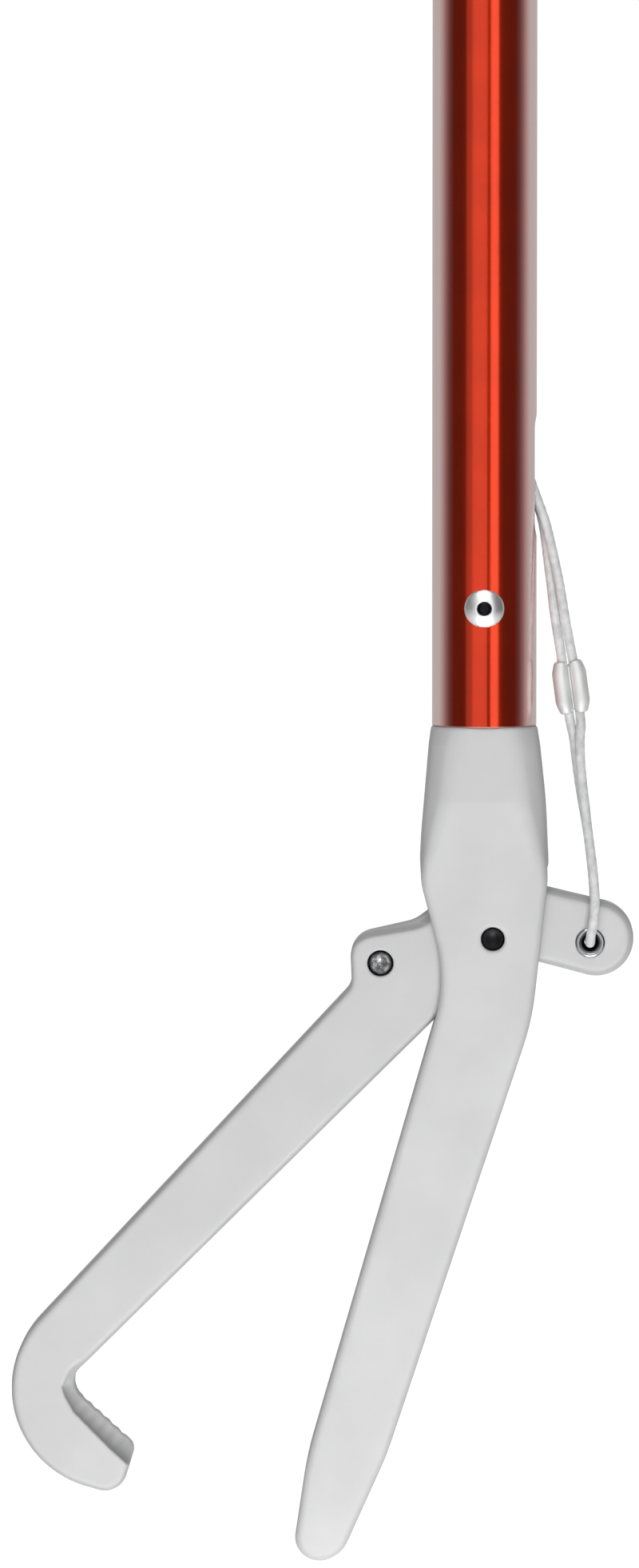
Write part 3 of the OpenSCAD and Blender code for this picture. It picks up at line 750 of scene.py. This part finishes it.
def ferrule():
    top, _, low = (np.array([PIVOT[0] + p[0], 0, PIVOT[2] + p[1]]) for p in CORD_IN_FERRULE)
    way = unit(low - top)
    centre = top + way * FERRULE_HALF
    obj = surface("cord_ferrule_crimp", ferrule_field, (-2.8, -1.5, -4.2), (2.8, 1.5, 4.2), 0.15, CRIMP)
    turn = Vector((0, 0, -1)).rotation_difference(Vector(way)).to_matrix().to_4x4()
    obj.data.transform(Matrix.Translation(Vector(centre) * MM) @ turn)
    return obj


# ---- handle ---------------------------------------------------------------------------------

BARREL_R, BARREL_WALL, GRIP_WALL = 15.0, 2.4, 2.2
SOCKET_END = TUBE_HIGH[2] - 39
# The barrel's right side as radius, height. The neck's heights are from the end of the tube's socket
BARREL_TOP = [(3, -5), (8.5, -6), (12.2, -9.5), (14.3, -15), (15, -22)]
BARREL_NECK = [(15, 38), (13.8, 26), (12.2, 12), (11.4, 1), (10.4, 0)]
BARREL_SIDE = BARREL_TOP + [(r, SOCKET_END + h) for r, h in BARREL_NECK]
BARREL = outline(BARREL_SIDE + [(-r, h) for r, h in BARREL_SIDE[::-1]])
# The grip runs from this point in XZ, turned by this angle about Y
GRIP_FROM, GRIP_TURN = (-5, -32.7), math.radians(-71.57)
GRIP_LEN, GRIP_DEPTH, GRIP_WIDTH = 108.0, 30.7, 25.0
HANG_TAB = outline(rounded([(-9, 11, 8.5), (9, 11, 8.5), (9, -14, 0), (-9, -14, 0)]))
HANG_TAB_HALF, HANG_HOLE_R = 5, 3.0
# Handle screws: x, z, and about half the handle's depth there
SCREWS = [(0, -21, 14.4), (-40, -20.5, 11.4), (-93, -3.2, 11.6), (-9.5, -79.5, 11), (10, -76, 10.6)]
SCREW_BOSS_R, SCREW_BORE_R, SCREW_SEAT_R, SCREW_SEAT_DEPTH = 3.4, 1.52, 3.0, 2.5
TRIGGER_PIN_R, TRIGGER_HUB_R, TRIGGER_HUB_FROM = 2.0, 4, 4.9
PEG_R, PEG_FROM, PEG_TO = 2.4, 6.7, 10
# The opening that the trigger swings in: half its width, its middle height, half its height, its X range
MOUTH_HALF, MOUTH_Z, MOUTH_TALL, MOUTH_X = 5.0, -62.5, 15.5, (-20, -6)


def oval(u, v, depth, width, power=2.6):
    """About the distance from an oval that is fuller than an ellipse."""
    a, b = depth / 2, width / 2
    f = (np.abs(u / a) ** power + np.abs(v / b) ** power) ** (1 / power)
    return (f - 1) * min(a, b) * 0.9


def handle_form(x, y, z, out, u, w):
    """The handle's outside. u and w are places across and along the grip."""
    grip = both(oval(u, y, GRIP_DEPTH, GRIP_WIDTH), np.maximum(w - GRIP_LEN, -w), 4.2)
    form = either(BARREL(out, z), grip, 5.0)
    tab = both(HANG_TAB(x, z), np.abs(y) - HANG_TAB_HALF, 1.2)
    return either(form, tab, 2.0)


def handle_hollow(x, y, z, out, u, w):
    """The room inside the shells, less the bosses of the screws and of the trigger's pin."""
    barrel = both(out - BARREL_R + BARREL_WALL, np.maximum(z + 15, TUBE_HIGH[2] + 2 - z), 3)
    core = oval(u, y, GRIP_DEPTH - 2 * GRIP_WALL, GRIP_WIDTH - 2 * GRIP_WALL)
    grip = np.maximum(core, np.maximum(w - GRIP_LEN + 2 * GRIP_WALL, 6 - w))
    bosses = np.full(np.broadcast(x, y, z).shape, 1e3)
    for sx, sz, _ in SCREWS:
        bosses = np.minimum(bosses, np.hypot(x - sx, z - sz) - SCREW_BOSS_R)
    hub = np.hypot(x - TRIGGER_AT[0], z - TRIGGER_AT[2]) - TRIGGER_HUB_R
    bosses = np.minimum(bosses, np.maximum(hub, TRIGGER_HUB_FROM - np.abs(y)))
    return np.maximum(np.minimum(barrel, grip), -bosses)


def handle_field(side):
    """One shell of the handle. side is -1 for the front one and 1 for the back one."""

    def field(x, y, z):
        out, deep = np.hypot(x, y), np.abs(y)
        gx, gz = x - GRIP_FROM[0], z - GRIP_FROM[1]
        w = gx * math.sin(GRIP_TURN) + gz * math.cos(GRIP_TURN)
        u = gx * math.cos(GRIP_TURN) - gz * math.sin(GRIP_TURN)
        solid = np.maximum(handle_form(x, y, z, out, u, w), -handle_hollow(x, y, z, out, u, w))
        socket = np.maximum(out - TUBE_R - 0.03, z - TUBE_HIGH[2])
        socket = np.minimum(socket, np.maximum(out - BORE_R, z - TUBE_HIGH[2] - 3))
        solid = without(solid, socket, 0.3)
        mouth = np.maximum(x - MOUTH_X[1], MOUTH_X[0] - x)
        mouth = np.maximum(np.maximum(np.abs(z - MOUTH_Z) - MOUTH_TALL, mouth), deep - MOUTH_HALF)
        solid = without(solid, mouth, 0.8)
        peg = np.maximum(np.hypot(x, z - PEG_Z) - PEG_R, PEG_FROM - deep)
        solid = np.minimum(solid, np.maximum(peg, deep - PEG_TO))
        solid = without(solid, np.hypot(x, z) - HANG_HOLE_R, 0.5)
        pin = np.hypot(x - TRIGGER_AT[0], z - TRIGGER_AT[2]) - TRIGGER_PIN_R - 0.02
        solid = np.maximum(solid, -np.maximum(pin, deep - 11.5))
        for sx, sz, reach in SCREWS:
            at = np.hypot(x - sx, z - sz)
            solid = np.maximum(solid, -np.maximum(at - SCREW_BORE_R, y - reach + 2.4))
            solid = without(solid, np.maximum(at - SCREW_SEAT_R, y + reach - SCREW_SEAT_DEPTH), 0.35)
        return both(solid, -side * y + 0.03, 0.3)

    return field


def handle():
    made = []
    for name, side in (("handle_shell_front", -1), ("handle_shell_back", 1)):
        low, high = corners(name)
        made.append(surface(name + "_moulding", handle_field(side), low, high, 0.62, GRIP_PLASTIC))
    return made


BUSH_R, BALL_SEAT_R, CORD_WAY_HALF = TRIGGER_PIN_R + 1.2, 3.05, 2.1
# The slot that the cord leaves the ball's seat by, as corners in XZ from the ball's middle
CORD_WAY = outline([(-2.1, 0.5), (2.1, 0.5), (2.6, -3), (7, -11.5), (-2.3, -11.5)])


def trigger_field(x, y, z):
    """The trigger with its bush's bore and the seat of the cord's ball, from its own pivot."""
    flat = TRIGGER_OUTLINE(x, z)
    half = np.interp(x, [-33, -31, -24, -22], [8.5, 8.4, 4.6, 4.5])
    solid = both(flat, np.abs(y) - half, np.interp(x, [-33, -22], [2.6, 1.0]))
    solid = np.maximum(solid, -(np.hypot(x, z) - BUSH_R))
    ax, az = x - (ANCHOR[0] - TRIGGER_AT[0]), z - (ANCHOR[2] - TRIGGER_AT[2])
    ball = np.sqrt(ax * ax + y * y + az * az) - BALL_SEAT_R
    entry = np.maximum(np.hypot(ax, y) - BALL_SEAT_R, -az)
    way = np.maximum(CORD_WAY(ax, az), np.abs(y) - CORD_WAY_HALF)
    return without(solid, np.minimum(np.minimum(ball, entry), way), 0.2)


def trigger():
    low, high = (c - TRIGGER_AT for c in corners("trigger"))
    return surface("trigger_moulding", trigger_field, low, high, 0.6, GRIP_PLASTIC, TRIGGER_AT)


SCREW_HEAD_R, SCREW_HEAD_H = 2.8, 1.05
CROSS_TURN, CROSS_REACH, CROSS_HALF, CROSS_BOTTOM = math.radians(30), 1.5, 0.32, 0.55
THREAD_ROOT_R, THREAD_CREST_R, THREAD_PITCH = 1.25, 1.48, 0.5


def screw_head(x, y, z):
    """A pan head with a tapering cross recess, outward along -Y."""
    out = np.hypot(x, z)
    dome = np.sqrt(x * x + (y - 3.2) ** 2 + z * z) - 4.05
    solid = both(both(out - SCREW_HEAD_R, dome, 0.25), y - SCREW_HEAD_H, 0.15)
    c, s = math.cos(CROSS_TURN), math.sin(CROSS_TURN)
    u, v = np.abs(x * c + z * s), np.abs(-x * s + z * c)
    taper = 0.35 * (y + 0.9)
    cross = np.minimum(np.maximum(u - CROSS_REACH + taper, v - CROSS_HALF),
                       np.maximum(v - CROSS_REACH + taper, u - CROSS_HALF))
    return without(solid, np.maximum(cross, y - CROSS_BOTTOM), 0.08)


def screws():
    parts = []
    low, high = (-2.9, -0.9, -2.9), (2.9, 1.1, 2.9)
    for i, (x, z, reach) in enumerate(SCREWS):
        seat, end = SCREW_SEAT_DEPTH - reach, reach - 2.7
        parts.append(surface(f"screw_{i}", screw_head, low, high, 0.17, DARK, (x, seat - SCREW_HEAD_H, z)))
        thread = [(0, seat - 0.1)]
        for k in range(int((end - 1.2 - seat) / THREAD_PITCH)):
            h = seat + THREAD_PITCH * k
            thread += [(THREAD_ROOT_R, h), (THREAD_CREST_R, h + THREAD_PITCH / 2)]
        thread += [(1.2, end - 1.2), (0, end)]
        parts.append(lathe(f"screw_shank_{i}", thread, (0, 1, 0), (x, 0, z), DARK, 24))
    return joined("handle_screws_driven", parts)


def joined(name, parts):
    """The given objects as one."""
    chosen = {"selected_objects": parts, "selected_editable_objects": parts}
    with bpy.context.temp_override(active_object=parts[0], **chosen):
        bpy.ops.object.join()
    parts[0].name = parts[0].data.name = name
    return parts[0]


# ---- make and place -------------------------------------------------------------------------


def place(obj, body, slot, *nodes):
    """Puts a piece on its body, in place of its CAD nodes. The slot argument is not used."""
    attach(obj, body)
    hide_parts(*nodes)


place(shaft(), "frame", "red_anodised", "shaft_tube")
(front_rivet, front_core), (back_rivet, back_core) = rivets()
place(front_rivet, "frame", "bright_metal", "jaw_rivet_front")
place(back_rivet, "frame", "bright_metal", "jaw_rivet_back")
place(front_core, "frame", "dark_steel", "rivet_mandrel_front")
place(back_core, "frame", "dark_steel", "rivet_mandrel_back")
fixed_jaw, moving_jaw = jaws()
place(fixed_jaw, "frame", "grey_plastic", "fixed_jaw")
place(moving_jaw, "jaw", "grey_plastic", "moving_jaw")
place(pivot_pin(), "frame", "dark_steel", "jaw_pivot_pin")
place(magnet(), "jaw", "magnet", "lug_magnet")
place(eyelet(), "jaw", "bright_metal", "cord_eyelet")
spring = return_spring()
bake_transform(spring)
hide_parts("jaw_return_spring")
place(cord(), "cord", "nylon_cord", "pull_cord")
place(ferrule(), "cord", "bright_metal", "cord_ferrule")
front_shell, back_shell = handle()
place(front_shell, "frame", "grey_plastic", "handle_shell_front")
place(back_shell, "frame", "grey_plastic", "handle_shell_back")
place(screws(), "frame", "dark_steel", "handle_screws")
place(trigger(), "trigger_lever", "grey_plastic", "trigger")
kept("cord_stop", BRIGHT)
kept("trigger_bush", BUSH)
kept("trigger_pivot_pin", WIRE)

# ---- studio ---------------------------------------------------------------------------------


def aim(obj, target):
    obj.rotation_mode = "QUATERNION"
    obj.rotation_quaternion = (Vector(target) - obj.location).to_track_quat("-Z", "Y")


def panel(name, azimuth, height, distance, width, tall, power, target):
    """Soft light panel. Azimuth 0 is in front, and a positive one is to the right."""
    data = bpy.data.lights.new(name, "AREA")
    data.shape, data.size, data.size_y, data.energy = "RECTANGLE", width, tall, power
    obj = bpy.data.objects.new(name, data)
    bpy.context.collection.objects.link(obj)
    a = math.radians(azimuth)
    obj.location = Vector(target) + Vector((distance * math.sin(a), -distance * math.cos(a), height))
    aim(obj, target)
    obj.visible_camera = False
    return obj


# Metres: the camera's distance, the height of its view there, its own height above the jaw pivot, and
# its aim's place above and beside the pivot
CAMERA_FAR, VIEW_TALL, SENSOR = 1.25, 0.24, 36
CAMERA_UP, AIM_UP, AIM_SIDE = 0.0949, 0.0234, -0.0266
FLOOR_R, FLOOR_Z, FLOOR_SIDES = 2.5, -1.3, 96
# Light panels: azimuth, height, distance, width, height of the panel, power
PANELS = {
    "softbox": (-9.5, 0.15, 1.6, 0.95, 1.9, 5.1),
    "wing": (-33, 0.15, 1.6, 0.39, 1.9, 1.0),
    "strip": (23, 0.15, 1.6, 0.5, 1.9, 4.4),
    "upper": (-2, 1.3, 1.1, 1.0, 0.8, 9.5),
    "behind": (180, -0.1, 1.8, 0.8, 1.0, 20),
}
LOWER_PANEL, LOWER_AIM = (8, -0.25, 0.36, 0.2, 0.15, 1.35), 0.085


def camera(target):
    data = bpy.data.cameras.new("camera")
    cam = bpy.data.objects.new("camera", data)
    bpy.context.collection.objects.link(cam)
    data.lens, data.sensor_width, data.sensor_fit = SENSOR * CAMERA_FAR / VIEW_TALL, SENSOR, "AUTO"
    data.clip_start, data.clip_end = 0.05, 60
    cam.location = (0, -CAMERA_FAR, PIVOT[2] * MM + CAMERA_UP)
    aim(cam, target)
    bpy.context.scene.camera = cam


def surroundings():
    """A white background for the camera, and for light a soft sky, brighter behind the object."""
    world = bpy.data.worlds.new("studio")
    bpy.context.scene.world = world
    world.use_nodes = True
    tree = world.node_tree
    tree.nodes.clear()
    out = tree.nodes.new("ShaderNodeOutputWorld")
    seen, lit, pick = (tree.nodes.new(k) for k in
                       ("ShaderNodeBackground", "ShaderNodeBackground", "ShaderNodeMixShader"))
    way = tree.nodes.new("ShaderNodeTexCoord")
    split = tree.nodes.new("ShaderNodeSeparateXYZ")
    path = tree.nodes.new("ShaderNodeLightPath")
    link(tree, way.outputs["Generated"], split.inputs["Vector"])
    level = ramp(tree, split.outputs["Y"], -0.12, 0.3, 0.15, 0.5)
    link(tree, level, lit.inputs["Strength"])
    seen.inputs["Strength"].default_value = 1.05
    for b in (seen, lit):
        b.inputs["Color"].default_value = (1, 1, 1, 1)
    link(tree, path.outputs["Is Camera Ray"], pick.inputs["Fac"])
    link(tree, lit.outputs["Background"], pick.inputs[1])
    link(tree, seen.outputs["Background"], pick.inputs[2])
    link(tree, pick.outputs["Shader"], out.inputs["Surface"])


def floor_skin():
    """Pale floor, about as bright as the background where the camera sees it."""
    m, tree, shader = nodes_of("floor_skin")
    tone = mix(tree, noise(tree, 2, 2), (0.93, 0.93, 0.93), (0.97, 0.97, 0.97))
    link(tree, tone, shader.inputs["Base Color"])
    shader.inputs["Roughness"].default_value = 0.9
    shader.inputs["Emission Color"].default_value = (1, 1, 1, 1)
    path = tree.nodes.new("ShaderNodeLightPath")
    link(tree, ramp(tree, path.outputs["Is Camera Ray"], 0, 1, 0.12, 1.0), shader.inputs["Emission Strength"])
    return m


def studio():
    bpy.context.scene.view_settings.view_transform = "Standard"
    target = Vector((PIVOT[0] * MM + AIM_SIDE, 0, PIVOT[2] * MM + AIM_UP))
    camera(target)
    lights = {name: panel(name, *sizes, target) for name, sizes in PANELS.items()}
    lights["behind"].visible_glossy = False
    panel("lower", *LOWER_PANEL, target - Vector((0, 0, LOWER_AIM)))
    turns = np.linspace(0, 2 * math.pi, FLOOR_SIDES, endpoint=False)
    rim = [(FLOOR_R * math.cos(a), FLOOR_R * math.sin(a), FLOOR_Z) for a in turns]
    mesh("floor", rim, [range(FLOOR_SIDES)], floor_skin())
    surroundings()


studio()
